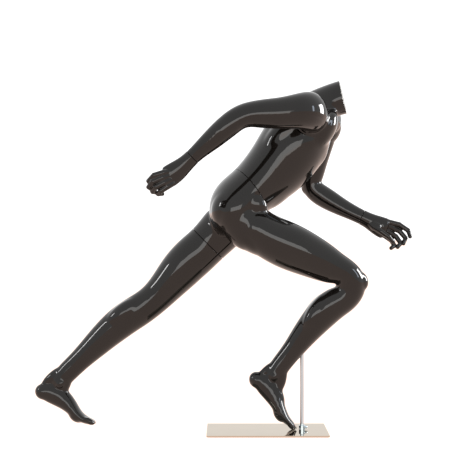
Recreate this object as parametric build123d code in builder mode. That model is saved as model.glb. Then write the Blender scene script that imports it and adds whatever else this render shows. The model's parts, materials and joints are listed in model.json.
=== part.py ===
from build123d import *
import os

os.makedirs("parts", exist_ok=True)

# Running mannequin on a rod and base plate, in millimetres. +Z is up, +X is the way the
# figure runs, -Y is its right side. The origin is the centre of the base's underside.

# ---------------------------------------------------------------- driving dimensions

figure_scale = 1.0            # size of the figure alone, the fittings keep their size
shell_wall = 4.0              # glass-fibre shell
seam_gap = 0.6                # open line between two shells at a joint
slip = 0.2                    # clearance of what is glued or dropped into a shell

base_length = 460.0
base_width = 300.0
base_thickness = 5.0
base_corner = 4.0
backing_thickness = 1.5
backing_inset = 3.0

rod_diameter = 14.0
rod_socket_depth = 15.0       # rod inside the collar
rod_x = 134.5                 # where the rod stands on the base
rod_engagement = 90.0         # rod inside the calf sleeve
running_clearance = 0.05      # radial, for what turns or slides by hand
seat_gap = 0.3                # between a piece and the stop it rests on

collar_diameter = 24.0
collar_height = 17.0
collar_fixing_diameter = 8.0
lock_screw_diameter = 5.0
lock_knob_diameter = 9.0
lock_knob_length = 8.0

sleeve_wall = 2.5
sleeve_cap = 4.0
sleeve_bracket_thickness = 8.0
rod_hole_clearance = 0.5      # radial, where the rod passes the shin's skin

closing_thickness = 12.0      # board that closes a shell at a joint
disc_thickness = 4.0          # steel fitting disc let into the board
waist_disc = 90.0
thigh_disc = 80.0
shoulder_disc = 64.0
waist_stud = 26.0
thigh_stud = 24.0
shoulder_stud = 18.0
lug_reach = 5.0               # bayonet lug beyond the stud
lug_width = 7.0
lug_thickness = 4.0
slot_clearance = 0.6
waist_release = 30.0          # degrees from locked to free
thigh_release = 40.0
shoulder_release = 45.0
screw_diameter = 4.5
screw_head = 8.5
screw_length = 10.0
screw_socket = 3.0            # across the hexagon's corners
screws_per_disc = 3
stud_cap = 0.5                # behind the disc, before the lugs

wrist_bush_diameter = 26.0
wrist_bush_length = 18.0
wrist_stud = 10.0
wrist_stud_length = 16.0      # in the forearm
wrist_stud_embed = 22.0       # in the hand

neck_cap_thickness = 5.0
neck_cap_recess = 1.0

# ---------------------------------------------------------------- where things stand

base_top = backing_thickness + base_thickness
design_base_top = 6.5         # base top that the stations below were set out from

WIDTH = Vector(0, 1, 0)
UP = Vector(0, 0, 1)
FRONT = Vector(1, 0, 0)


def place(x, y, z):
    """A point of the figure, set out for a base top at design_base_top."""
    return Vector(x, y, z - design_base_top) * figure_scale + Vector(0, 0, base_top)


def plane_at(centre, normal, across):
    """Plane square to a limb, its X along the chosen body direction."""
    normal = Vector(*normal).normalized()
    x_dir = across - normal * across.dot(normal)
    return Plane(origin=centre, x_dir=x_dir, z_dir=normal)


# Joints of the figure: centre, and the axis from the piece that carries to the carried one.
waist = plane_at(place(-65, 0, 920), (0.795, 0.155, 0.586), WIDTH)
thigh = plane_at(place(-227, 90, 717), (-0.706, 0.0, -0.708), WIDTH)
right_shoulder = plane_at(place(161, -150, 1212), (-0.40, -0.91, -0.06), UP)
left_shoulder = plane_at(place(236, 150, 1213), (0.24, 0.96, -0.10), FRONT)
right_wrist = plane_at(place(-279, -241, 1038), (-0.714, 0.10, -0.69), UP)
left_wrist = plane_at(place(386, 205, 821), (0.90, -0.12, -0.40), UP)
neck_face = plane_at(place(292, 0, 1280), (0.965, -0.14, 0.222), WIDTH)

# Stations down each limb: x, y, z of the centre, then the half size along the limb's
# first direction and the half size across it.
waist_size = (137, 97)
thigh_size = (76, 81)
right_shoulder_size = (71, 60)
left_shoulder_size = (60, 70)
right_wrist_size = (28, 25)
left_wrist_size = (29, 25)
neck_size = (58, 64)

TORSO = [
    (19, 0, 989, 134, 119),
    (70, 0, 1050, 143, 129),
    (112, 2, 1117, 146, 131),
    (147, 7, 1172, 126, 118),
    (176, 4, 1214, 96, 92),
    (199, -2, 1244, 76, 70),
    (240, 0, 1265, 60, 63),
]
RIGHT_YOKE = [(140, -50, 1194, 74, 74), (168, -108, 1206, 70, 64)]
LEFT_YOKE = [(160, 40, 1190, 72, 76), (206, 100, 1206, 66, 73)]

PELVIS = [
    (-92, 0, 893, 152, 108),
    (-122, 0, 856, 164, 108),
    (-134, 0, 806, 158, 92),
    (-136, 0, 768, 128, 64),
    (-134, 0, 745, 84, 34),
]
RIGHT_LEG = [
    (-86, -74, 822, 80, 78),
    (-32, -80, 764, 84, 80),
    (62, -80, 718, 84, 92),
    (150, -74, 679, 76, 83),
    (219, -66, 645, 66, 72),
    (256, -61, 626, 60, 62),
    (288, -57, 615, 57, 53),
    (309, -54, 595, 56, 57),
    (318, -51, 567, 55, 59),
    (315, -48, 538, 55, 56),
    (294, -44, 512, 55, 54),
    (271, -40, 501, 56, 58),
    (237, -34, 478, 58, 61),
    (207, -27, 449, 57, 60),
    (181, -20, 419, 54, 56),
    (154, -14, 386, 49, 51),
    (128, -9, 352, 44, 46),
    (103, -6, 318, 39, 41),
    (76, -4, 284, 35, 38),
    (50, -2, 250, 34, 38),
    (27, -1, 218, 33, 36),
    (8, 0, 190, 26, 22),
]
RIGHT_FOOT = [
    (-52, 0, 207, 16, 14),
    (-27, -1, 197, 29, 35),
    (9, -2, 164, 33, 42),
    (36, -4, 114, 38, 27),
    (57, -6, 68, 44, 21),
    (76, -8, 43, 43, 14.5),
    (95, -9, 27, 38, 11.5),
    (106, -9, 17, 28, 6.5),
]
LEFT_STUB = [(-135, 78, 815, 88, 92), (-178, 86, 768, 82, 88)]
LEFT_LEG = [
    (-268, 90, 680, 79, 84),
    (-304, 91, 647, 78, 83),
    (-337, 91, 612, 75, 80),
    (-369, 92, 575, 70, 73),
    (-401, 93, 538, 64, 66),
    (-434, 93, 504, 59, 62),
    (-470, 94, 475, 57, 62),
    (-507, 95, 451, 57, 64),
    (-542, 96, 429, 57, 64),
    (-574, 97, 405, 56, 63),
    (-604, 98, 380, 54, 60),
    (-634, 99, 353, 51, 56),
    (-663, 99, 325, 47, 52),
    (-692, 100, 297, 42, 47),
    (-722, 100, 268, 38, 43),
    (-752, 100, 239, 35, 41),
    (-784, 100, 208, 34, 41),
    (-808, 100, 178, 32, 36),
    (-822, 100, 150, 26, 22),
]
LEFT_FOOT = [
    (-892, 100, 142, 16, 13),
    (-866, 100, 143, 30, 38),
    (-812, 100, 126, 34, 44),
    (-766, 100, 86, 39, 29),
    (-742, 100, 52, 44, 21),
    (-716, 100, 33, 42, 15),
    (-690, 100, 22, 38, 12),
    (-674, 100, 17, 28, 7),
]
RIGHT_ARM = [
    (127, -189, 1211, 67, 57),
    (82, -210, 1205, 61, 53),
    (38, -222, 1199, 57, 50),
    (-7, -232, 1197, 54, 48),
    (-50, -239, 1195, 49, 46),
    (-90, -250, 1190, 44, 43),
    (-122, -257, 1173, 43, 42),
    (-150, -259, 1150, 43, 41),
    (-180, -257, 1125, 41, 39),
    (-206, -253, 1102, 38, 36),
    (-232, -249, 1080, 34, 32),
    (-257, -245, 1058, 30, 28),
]
LEFT_ARM = [
    (243, 192, 1200, 62, 66),
    (241, 219, 1164, 56, 58),
    (229, 230, 1105, 52, 51),
    (212, 238, 1045, 47, 46),
    (193, 245, 992, 43, 43),
    (184, 248, 962, 42, 42),
    (193, 248, 935, 42, 42),
    (222, 245, 912, 43, 42),
    (255, 240, 892, 42, 40),
    (288, 231, 872, 38, 36),
    (321, 222, 854, 34, 31),
    (355, 213, 837, 31, 27),
]
# Palms, from the wrist out, and fingers as chains of knuckles.
RIGHT_PALM = [(-305, -236, 1013, 31, 24), (-332, -234, 990, 37, 23), (-360, -236, 970, 40, 20)]
LEFT_PALM = [(412, 201, 808, 31, 24), (440, 198, 792, 37, 23), (470, 196, 778, 42, 19)]
finger_radius = 9.5
RIGHT_FINGERS = [
    [(-372, -250, 990), (-404, -262, 984), (-424, -250, 966), (-416, -232, 952)],
    [(-380, -252, 972), (-414, -262, 962), (-430, -246, 942), (-418, -228, 930)],
    [(-378, -250, 952), (-408, -258, 936), (-420, -240, 918), (-406, -224, 910)],
    [(-368, -244, 934), (-392, -248, 916), (-402, -232, 902), (-388, -218, 898)],
    [(-330, -214, 1000), (-362, -200, 1004), (-392, -202, 996), (-416, -214, 990)],
]
LEFT_FINGERS = [
    [(482, 200, 800), (522, 204, 788), (556, 200, 766), (562, 190, 742)],
    [(488, 204, 784), (524, 210, 764), (546, 204, 738), (538, 192, 716)],
    [(484, 204, 766), (514, 208, 744), (528, 200, 718), (514, 188, 702)],
    [(474, 202, 750), (498, 204, 730), (506, 196, 710), (494, 186, 698)],
    [(430, 180, 782), (456, 164, 764), (482, 160, 744), (500, 164, 722)],
]


# ---------------------------------------------------------------- ways of building

def scaled(stations):
    """Stations as points and half sizes in the frame of the whole part."""
    return [(place(*s[:3]), s[3] * figure_scale, s[4] * figure_scale) for s in stations]


def seam(plane, size, past=0.0):
    """The station at a joint, moved along the joint's axis by past."""
    centre = plane.origin + plane.z_dir * past
    return (centre, size[0] * figure_scale, size[1] * figure_scale)


def section(plane, half_along, half_across, grow):
    """One elliptical slice of a limb."""
    with BuildSketch(plane, mode=Mode.PRIVATE) as outline:
        Ellipse(half_along + grow, half_across + grow)
    return outline.sketch.faces()[0]


def limb_sections(stations, across, grow=0.0, first=None, last=None):
    """Slices square to the path through the stations; first and last fix end normals.

    An end with no fixed normal is a closed one, so it moves along with the skin.
    """
    slices = []
    for index, (centre, half_along, half_across) in enumerate(stations):
        before = stations[max(index - 1, 0)][0]
        after = stations[min(index + 1, len(stations) - 1)][0]
        normal = (after - before).normalized()
        if index == 0:
            centre = centre if first is not None else centre - normal * grow
            normal = first or normal
        if index == len(stations) - 1:
            centre = centre if last is not None else centre + normal * grow
            normal = last or normal
        plane = plane_at(centre, (normal.X, normal.Y, normal.Z), across)
        slices.append(section(plane, half_along, half_across, grow))
    return slices


half_gap = seam_gap / 2

torso_path = [seam(waist, waist_size, half_gap)] + scaled(TORSO)
torso_path = torso_path + [seam(neck_face, neck_size)]
right_yoke_path = scaled(RIGHT_YOKE) + [seam(right_shoulder, right_shoulder_size, -half_gap)]
left_yoke_path = scaled(LEFT_YOKE) + [seam(left_shoulder, left_shoulder_size, -half_gap)]
pelvis_path = [seam(waist, waist_size, -half_gap)] + scaled(PELVIS)
stub_path = scaled(LEFT_STUB) + [seam(thigh, thigh_size, -half_gap)]
right_leg_path = scaled(RIGHT_LEG)
right_foot_path = scaled(RIGHT_FOOT)
left_leg_path = [seam(thigh, thigh_size, half_gap)] + scaled(LEFT_LEG)
left_foot_path = scaled(LEFT_FOOT)
right_arm_path = [seam(right_shoulder, right_shoulder_size, half_gap)] + scaled(RIGHT_ARM)
right_arm_path = right_arm_path + [seam(right_wrist, right_wrist_size, -half_gap)]
left_arm_path = [seam(left_shoulder, left_shoulder_size, half_gap)] + scaled(LEFT_ARM)
left_arm_path = left_arm_path + [seam(left_wrist, left_wrist_size, -half_gap)]
right_palm_path = [seam(right_wrist, right_wrist_size, half_gap)] + scaled(RIGHT_PALM)
left_palm_path = [seam(left_wrist, left_wrist_size, half_gap)] + scaled(LEFT_PALM)


def torso_sections(grow):
    return limb_sections(torso_path, WIDTH, grow, waist.z_dir, neck_face.z_dir)


def yoke_sections(grow, right):
    if right:
        return limb_sections(right_yoke_path, UP, grow, None, right_shoulder.z_dir)
    return limb_sections(left_yoke_path, FRONT, grow, None, left_shoulder.z_dir)


def pelvis_sections(grow):
    return limb_sections(pelvis_path, WIDTH, grow, waist.z_dir * -1, None)


def stub_sections(grow):
    return limb_sections(stub_path, WIDTH, grow, None, thigh.z_dir)


def left_leg_sections(grow):
    return limb_sections(left_leg_path, WIDTH, grow, thigh.z_dir, None)


def arm_sections(grow, right):
    if right:
        ends = (right_shoulder.z_dir, right_wrist.z_dir)
        return limb_sections(right_arm_path, UP, grow, *ends)
    return limb_sections(left_arm_path, FRONT, grow, left_shoulder.z_dir, left_wrist.z_dir)


def finish(part, label):
    """Name a finished piece and write it."""
    part.label = label
    export_step(part, "parts/" + label + ".step")


# ---------------------------------------------------------------- base and rod

rod_bottom = base_top + collar_height - rod_socket_depth
rod_seat = place(rod_x, 0, 0)
rod_radius = rod_diameter / 2
sleeve_radius = rod_radius + running_clearance + sleeve_wall
sleeve_bottom = place(0, 0, 322).Z
rod_top = sleeve_bottom + rod_engagement
sleeve_top = rod_top + seat_gap + sleeve_cap
bracket_bottom = place(0, 0, 372).Z
shin_skin_bottom = place(0, 0, 270).Z


def rod_plane(height):
    """Level plane at a height, centred on the rod."""
    return Plane(origin=(rod_seat.X, 0, height), x_dir=(1, 0, 0), z_dir=(0, 0, 1))



with BuildPart() as base_plate:
    with BuildSketch(Plane.XY.offset(backing_thickness)):
        RectangleRounded(base_length, base_width, base_corner)
    extrude(amount=base_thickness)
    with BuildSketch(rod_plane(backing_thickness)):
        Circle(collar_fixing_diameter / 2 + slip)
    extrude(amount=base_thickness, mode=Mode.SUBTRACT)
    top_edges = base_plate.edges().filter_by_position(Axis.Z, base_top, base_top)
    chamfer(top_edges.group_by(SortBy.LENGTH)[-1], 0.4)
finish(base_plate.part, "base_plate")

with BuildPart() as base_backing_sheet:
    with BuildSketch(Plane.XY):
        RectangleRounded(base_length - 2 * backing_inset, base_width - 2 * backing_inset, base_corner)
    extrude(amount=backing_thickness)
finish(base_backing_sheet.part, "base_backing_sheet")

with BuildPart() as rod_collar:
    with BuildSketch(rod_plane(base_top)):
        Circle(collar_diameter / 2)
    extrude(amount=collar_height)
    chamfer(rod_collar.edges().group_by(Axis.Z)[-1], 1.0)
    with BuildSketch(rod_plane(rod_bottom - seat_gap)):
        Circle(rod_radius + running_clearance)
    extrude(amount=collar_height + 1, mode=Mode.SUBTRACT)
    with BuildSketch(rod_plane(base_top)):
        Circle(collar_fixing_diameter / 2 + slip)
    extrude(amount=rod_bottom - base_top, mode=Mode.SUBTRACT)
    lock_plane = Plane(
        origin=(rod_seat.X + rod_radius, 0, base_top + collar_height * 0.55),
        x_dir=(0, 1, 0),
        z_dir=(1, 0, 0),
    )
    with BuildSketch(lock_plane):
        Circle(lock_screw_diameter / 2 + running_clearance)
    extrude(amount=collar_diameter / 2, mode=Mode.SUBTRACT)
finish(rod_collar.part, "rod_collar")

with BuildPart() as collar_fixing_screw:
    with BuildSketch(rod_plane(backing_thickness)):
        Circle(collar_fixing_diameter / 2)
    extrude(amount=rod_bottom - seat_gap - backing_thickness - slip)
finish(collar_fixing_screw.part, "collar_fixing_screw")

with BuildPart() as collar_locking_screw:
    with BuildSketch(lock_plane.offset(seat_gap)):
        Circle(lock_screw_diameter / 2)
    extrude(amount=collar_diameter / 2 - rod_radius)
    with BuildSketch(lock_plane.offset(collar_diameter / 2 - rod_radius + seat_gap)):
        Circle(lock_knob_diameter / 2)
    extrude(amount=lock_knob_length)
    chamfer(collar_locking_screw.edges().group_by(Axis.X)[-1], 0.8)
finish(collar_locking_screw.part, "collar_locking_screw")

with BuildPart() as support_rod:
    with BuildSketch(rod_plane(rod_bottom)):
        Circle(rod_radius)
    extrude(amount=rod_top - rod_bottom)
    chamfer(support_rod.edges().group_by(Axis.Z)[-1], 1.5)
finish(support_rod.part, "support_rod")

# ---------------------------------------------------------------- shells of the figure

def lower_body(grow):
    """Pelvis, right leg and left hip as one solid, its skin moved out by grow."""
    with BuildPart() as body:
        loft(pelvis_sections(grow), ruled=True)
        loft(stub_sections(grow), ruled=True)
        loft(limb_sections(right_leg_path, WIDTH, grow), ruled=True)
        loft(limb_sections(right_foot_path, WIDTH, grow), ruled=True)
    return body.part


def torso(grow):
    """Trunk, neck and both shoulders as one solid, its skin moved out by grow."""
    with BuildPart() as body:
        loft(torso_sections(grow), ruled=True)
        loft(yoke_sections(grow, True), ruled=True)
        loft(yoke_sections(grow, False), ruled=True)
    return body.part


def left_leg(grow):
    """Left leg and foot as one solid, its skin moved out by grow."""
    with BuildPart() as body:
        loft(left_leg_sections(grow), ruled=True)
        loft(limb_sections(left_foot_path, WIDTH, grow), ruled=True)
    return body.part


with BuildPart() as lower_body_shell:
    add(lower_body(0))
    add(lower_body(-shell_wall), mode=Mode.SUBTRACT)
    with BuildSketch(rod_plane(shin_skin_bottom)):
        Circle(rod_radius + rod_hole_clearance)
    extrude(amount=sleeve_bottom - shin_skin_bottom, mode=Mode.SUBTRACT)
finish(lower_body_shell.part, "lower_body_shell")

with BuildPart() as torso_shell:
    add(torso(0))
    add(torso(-shell_wall), mode=Mode.SUBTRACT)
finish(torso_shell.part, "torso_shell")

with BuildPart() as left_leg_shell:
    add(left_leg(0))
    add(left_leg(-shell_wall), mode=Mode.SUBTRACT)
finish(left_leg_shell.part, "left_leg_shell")

with BuildPart() as right_arm_shell:
    loft(arm_sections(0, True), ruled=True)
    loft(arm_sections(-shell_wall, True), ruled=True, mode=Mode.SUBTRACT)
finish(right_arm_shell.part, "right_arm_shell")

with BuildPart() as left_arm_shell:
    loft(arm_sections(0, False), ruled=True)
    loft(arm_sections(-shell_wall, False), ruled=True, mode=Mode.SUBTRACT)
finish(left_arm_shell.part, "left_arm_shell")

# ---------------------------------------------------------------- rod seat in the calf

with BuildPart() as calf_rod_sleeve:
    with BuildSketch(rod_plane(sleeve_bottom)):
        Circle(sleeve_radius)
    extrude(amount=sleeve_top - sleeve_bottom)
    with BuildSketch(rod_plane(sleeve_bottom)):
        Circle(rod_radius + running_clearance)
    extrude(amount=rod_top + seat_gap - sleeve_bottom, mode=Mode.SUBTRACT)
finish(calf_rod_sleeve.part, "calf_rod_sleeve")

with BuildPart() as calf_sleeve_bracket:
    shin_slices = limb_sections(right_leg_path, WIDTH, -shell_wall - slip)
    loft(shin_slices[-11:-3], ruled=True)
    split(bisect_by=Plane.XY.offset(bracket_bottom), keep=Keep.TOP)
    bracket_top = bracket_bottom + sleeve_bracket_thickness
    split(bisect_by=Plane.XY.offset(bracket_top), keep=Keep.BOTTOM)
    with BuildSketch(rod_plane(bracket_bottom)):
        Circle(sleeve_radius + running_clearance)
    extrude(amount=sleeve_bracket_thickness, mode=Mode.SUBTRACT)
finish(calf_sleeve_bracket.part, "calf_sleeve_bracket")

# ---------------------------------------------------------------- bayonet joints


def socket_face(joint):
    """Face of the carrying side at a joint, looking out of it."""
    return joint.offset(-half_gap)


def stud_face(joint):
    """Face of the carried side at a joint, looking out of it."""
    origin = joint.origin + joint.z_dir * half_gap
    return Plane(origin=origin, x_dir=joint.x_dir, z_dir=joint.z_dir * -1)


def screw_circle(disc, stud):
    """Radius of the screws' circle, midway between the lugs' path and the rim."""
    return (disc / 2 + stud / 2 + lug_reach) / 2


def closing_board(slices, face, disc, stud, open_centre):
    """Board that fills a shell's end, let in for its disc and open for the stud."""
    with BuildPart() as board:
        loft(slices, ruled=True)
        split(bisect_by=face.offset(-closing_thickness), keep=Keep.TOP)
        with BuildSketch(face):
            Circle(disc / 2 + slip)
        extrude(amount=-disc_thickness, mode=Mode.SUBTRACT)
        if open_centre:
            with BuildSketch(face):
                Circle(stud / 2 + lug_reach + 1.5)
            extrude(amount=-closing_thickness, mode=Mode.SUBTRACT)
        with BuildSketch(face):
            with PolarLocations(screw_circle(disc, stud), screws_per_disc):
                Circle(screw_diameter / 2 + running_clearance)
        extrude(amount=-closing_thickness, mode=Mode.SUBTRACT)
    return board.part


def countersink(face, disc, stud):
    """Countersunk holes round a disc, for the part being built."""
    with Locations(face):
        with PolarLocations(screw_circle(disc, stud), screws_per_disc):
            CounterSinkHole(
                radius=screw_diameter / 2 + running_clearance,
                counter_sink_radius=screw_head / 2 + running_clearance,
                depth=disc_thickness,
                counter_sink_angle=90,
            )


def socket_disc(face, disc, stud, release):
    """Steel disc with a round hole and the slots that let the lugs out."""
    with BuildPart() as piece:
        with BuildSketch(face):
            Circle(disc / 2)
            Circle(stud / 2 + running_clearance, mode=Mode.SUBTRACT)
            with Locations(Rotation(0, 0, release)):
                Rectangle(
                    stud + 2 * (lug_reach + slot_clearance),
                    lug_width + 2 * slot_clearance,
                    mode=Mode.SUBTRACT,
                )
        extrude(amount=-disc_thickness)
        countersink(face, disc, stud)
    return piece.part


def stud_disc(face, disc, stud):
    """Steel disc with the stud and its two lugs standing out of it."""
    lugs_start = seam_gap + disc_thickness + stud_cap
    with BuildPart() as piece:
        with BuildSketch(face):
            Circle(disc / 2)
        extrude(amount=-disc_thickness)
        with BuildSketch(face):
            Circle(stud / 2)
        extrude(amount=lugs_start + lug_thickness)
        with BuildSketch(face.offset(lugs_start)):
            Rectangle(stud + 2 * lug_reach, lug_width)
        extrude(amount=lug_thickness)
        countersink(face, disc, stud)
    return piece.part


def disc_screws(face, disc, stud):
    """Countersunk screws that hold a disc to its board, as separate solids."""
    head_height = (screw_head - screw_diameter) / 2
    low = (Align.CENTER, Align.CENTER, Align.MAX)
    with BuildPart() as screws:
        with Locations(face):
            with PolarLocations(screw_circle(disc, stud), screws_per_disc):
                Cylinder(screw_diameter / 2, screw_length, align=low)
                Cone(screw_diameter / 2, screw_head / 2, head_height, align=low)
        with BuildSketch(face):
            with PolarLocations(screw_circle(disc, stud), screws_per_disc):
                RegularPolygon(screw_socket / 2, 6)
        extrude(amount=-head_height, mode=Mode.SUBTRACT)
    return screws.part


board_grow = -shell_wall - slip
bayonets = [
    ("waist", waist, waist_disc, waist_stud, waist_release,
     pelvis_sections(board_grow)[:2], torso_sections(board_grow)[:2]),
    ("thigh", thigh, thigh_disc, thigh_stud, thigh_release,
     stub_sections(board_grow)[-2:], left_leg_sections(board_grow)[:2]),
    ("right_shoulder", right_shoulder, shoulder_disc, shoulder_stud, shoulder_release,
     yoke_sections(board_grow, True)[-2:], arm_sections(board_grow, True)[:2]),
    ("left_shoulder", left_shoulder, shoulder_disc, shoulder_stud, -shoulder_release,
     yoke_sections(board_grow, False)[-2:], arm_sections(board_grow, False)[:2]),
]
for name, joint, disc, stud, release, socket_slices, stud_slices in bayonets:
    carrying = socket_face(joint)
    carried = stud_face(joint)
    finish(closing_board(socket_slices, carrying, disc, stud, True), name + "_socket_board")
    finish(socket_disc(carrying, disc, stud, release), name + "_socket_disc")
    finish(disc_screws(carrying, disc, stud), name + "_socket_screws")
    finish(closing_board(stud_slices, carried, disc, stud, False), name + "_stud_board")
    finish(stud_disc(carried, disc, stud), name + "_stud_disc")
    finish(disc_screws(carried, disc, stud), name + "_stud_screws")

# ---------------------------------------------------------------- neck cap

with BuildPart() as neck_cap:
    loft(torso_sections(board_grow)[-2:], ruled=True)
    split(bisect_by=neck_face.offset(-neck_cap_recess), keep=Keep.BOTTOM)
    split(bisect_by=neck_face.offset(-neck_cap_recess - neck_cap_thickness), keep=Keep.TOP)
finish(neck_cap.part, "neck_cap")

# ---------------------------------------------------------------- wrists and hands


def wrist_board(slices, face):
    """Board in the forearm's end, bored for the wrist bush."""
    with BuildPart() as board:
        loft(slices, ruled=True)
        split(bisect_by=face.offset(-closing_thickness), keep=Keep.TOP)
        with BuildSketch(face):
            Circle(wrist_bush_diameter / 2 + running_clearance)
        extrude(amount=-closing_thickness, mode=Mode.SUBTRACT)
    return board.part


def wrist_bush(face):
    """Steel bush that the hand's stud turns in."""
    with BuildPart() as bush:
        with BuildSketch(face):
            Circle(wrist_bush_diameter / 2)
            Circle(wrist_stud / 2 + running_clearance, mode=Mode.SUBTRACT)
        extrude(amount=-wrist_bush_length)
    return bush.part


def wrist_peg(joint):
    """Peg cast into the hand, standing out of it into the bush."""
    with BuildPart() as peg:
        with BuildSketch(joint.offset(half_gap - wrist_stud_length)):
            Circle(wrist_stud / 2)
        extrude(amount=wrist_stud_length + wrist_stud_embed)
    return peg.part


def finger(knuckles):
    """One finger as rounded lengths from knuckle to knuckle, for the part being built."""
    points = [place(*knuckle) for knuckle in knuckles]
    radius = finger_radius * figure_scale
    for start, end in zip(points, points[1:]):
        length = (end - start).length
        with BuildSketch(Plane(origin=start, z_dir=end - start), mode=Mode.PRIVATE) as bone:
            Circle(radius)
        extrude(bone.sketch, amount=length)
    for point in points:
        with Locations(point):
            Sphere(radius)


def hand(joint, palm_slices, fingers):
    """Solid hand: a palm, four fingers and a thumb, bored for its peg."""
    with BuildPart() as piece:
        loft(palm_slices, ruled=True)
        for knuckles in fingers:
            finger(knuckles)
        with BuildSketch(joint.offset(half_gap)):
            Circle(wrist_stud / 2 + running_clearance)
        extrude(amount=wrist_stud_embed + seat_gap, mode=Mode.SUBTRACT)
    return piece.part


def palm_sections(right):
    if right:
        return limb_sections(right_palm_path, UP, 0, right_wrist.z_dir)
    return limb_sections(left_palm_path, UP, 0, left_wrist.z_dir)


for side, joint, fingers in (
    ("right", right_wrist, RIGHT_FINGERS),
    ("left", left_wrist, LEFT_FINGERS),
):
    is_right = side == "right"
    face = socket_face(joint)
    forearm_slices = arm_sections(board_grow, is_right)[-2:]
    finish(wrist_board(forearm_slices, face), side + "_wrist_board")
    finish(wrist_bush(face), side + "_wrist_bush")
    finish(wrist_peg(joint), side + "_wrist_peg")
    finish(hand(joint, palm_sections(is_right), fingers), side + "_hand")
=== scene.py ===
import json
import math

import bmesh
import bpy
from mathutils import Matrix, Vector


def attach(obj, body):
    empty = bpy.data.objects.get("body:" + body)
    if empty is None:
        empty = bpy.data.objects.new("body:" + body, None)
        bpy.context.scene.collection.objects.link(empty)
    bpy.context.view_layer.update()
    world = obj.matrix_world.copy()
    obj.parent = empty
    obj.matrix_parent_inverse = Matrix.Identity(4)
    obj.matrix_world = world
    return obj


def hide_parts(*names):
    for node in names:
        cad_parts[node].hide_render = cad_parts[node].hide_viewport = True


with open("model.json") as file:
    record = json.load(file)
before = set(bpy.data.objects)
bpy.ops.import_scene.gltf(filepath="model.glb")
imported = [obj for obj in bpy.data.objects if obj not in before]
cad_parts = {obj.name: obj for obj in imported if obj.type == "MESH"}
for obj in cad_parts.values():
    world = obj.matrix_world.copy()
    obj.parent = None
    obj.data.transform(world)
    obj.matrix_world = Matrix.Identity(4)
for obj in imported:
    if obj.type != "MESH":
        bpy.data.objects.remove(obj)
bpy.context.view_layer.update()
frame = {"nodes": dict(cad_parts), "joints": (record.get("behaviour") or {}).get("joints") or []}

bl_info = {
    "name": "Running mannequin",
    "version": (1, 0, 0),
    "blender": (4, 5, 0),
    "location": "3D View > Sidebar > Mannequin",
    "description": "Builds the lacquered figure, its steel stand and its studio",
    "category": "Object",
}

# The frame is in metres: +X is the way the figure runs, -Y its right side, +Z up.
MM = 0.001
WIDTH = Vector((0, 1, 0))
UP = Vector((0, 0, 1))
FRONT = Vector((1, 0, 0))

SEAM_GAP = 0.6 * MM           # open line between two shells
BOARD_DEPTH = 12.6 * MM       # how far a closing board stands inside its shell
CAP_DEPTH = 6.5 * MM          # the same for the thin neck cap

# Mesh counts.
RING_POINTS = 24              # points round a ring of a limb
ROUNDING_LEVELS = 2           # rounding of a bridged limb
MASS_SEGMENTS = 32            # points round a muscle or bone
MASS_RINGS = 20               # and from pole to pole
FINGER_SEGMENTS = 24          # points round a finger's joint
FINGER_RINGS = 16             # and from pole to pole
CLEARANCE_SEGMENTS = 64       # points round the block that clears a joint

# Smoothing passes after each skin is made, more where the shape is wide and soft.
TORSO_PASSES = 44
LOWER_BODY_PASSES = 28
LEFT_LEG_PASSES = 26
ARM_PASSES = 22
HAND_PASSES = 9
POLISH_FACTOR = 0.5           # how far one pass moves a point towards its neighbours
ROUNDING_LOSS = 1.5 * MM      # what rounding and smoothing take off a limb

# Cuts at the seams, the shares being of the seam's own ring.
CLEARANCE_HEIGHT = 170 * MM   # how far beyond a seam the carried piece's room goes
CLEARANCE_SHARE = 1.07        # size of that room where it starts
CLEARANCE_WIDENING = 0.28     # what is added to it by its far end
FACE_REACH = 1.2              # how far from the seam's centre its face may reach
PLANE_SLACK = 0.15 * MM       # what still counts as lying on a cut

SHARP_ANGLE = math.radians(38)    # a steeper edge is shaded as a corner
DOUBLES = 0.001 * MM              # points nearer than this are one
FINGER_WAIST = 0.96               # a finger between its joints, as a share of the joints
ALONG_WIDTH = 0.9                 # a direction nearer to the width than this takes UP
FLOOR_DROP = 0.6 * MM             # keeps the floor off the felt's underside
SENSOR_WIDTH = 36.0               # of the camera, in millimetres
FAR_CLIP = 300.0                  # beyond the floor's far edge, in metres

# ------------------------------------------------------------ joints of the figure

JOINTS = {joint["name"]: joint for joint in frame["joints"]}


def seam_from(joint_name, across, half_along, half_across):
    """A seam on a joint, with the half sizes of its ring along and across."""
    joint = JOINTS[joint_name]
    return {
        "centre": Vector(joint["pos_m"]),
        "axis": Vector(joint["axis"]).normalized(),
        "across": across,
        "size": (half_along * MM, half_across * MM),
    }


WAIST = seam_from("waist_twist", WIDTH, 137, 97)
THIGH = seam_from("thigh_twist", WIDTH, 76, 81)
RIGHT_SHOULDER = seam_from("right_shoulder_twist", UP, 71, 60)
LEFT_SHOULDER = seam_from("left_shoulder_twist", FRONT, 60, 70)
RIGHT_WRIST = seam_from("right_wrist_turn", UP, 28, 25)
LEFT_WRIST = seam_from("left_wrist_turn", UP, 29, 25)
# clear is the seam's own CLEARANCE_SHARE, and swell widens its ring so that a smoothed
# shell still covers the board inside it.
WAIST["clear"] = 1.16
for shoulder in (RIGHT_SHOULDER, LEFT_SHOULDER):
    shoulder["clear"] = 1.3
    shoulder["swell"] = 5 * MM
NECK = {
    "swell": 2 * MM,
    "centre": Vector((292, 0, 1280)) * MM,
    "axis": Vector((0.965, -0.14, 0.222)).normalized(),
    "across": WIDTH,
    "size": (58 * MM, 64 * MM),
}

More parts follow.
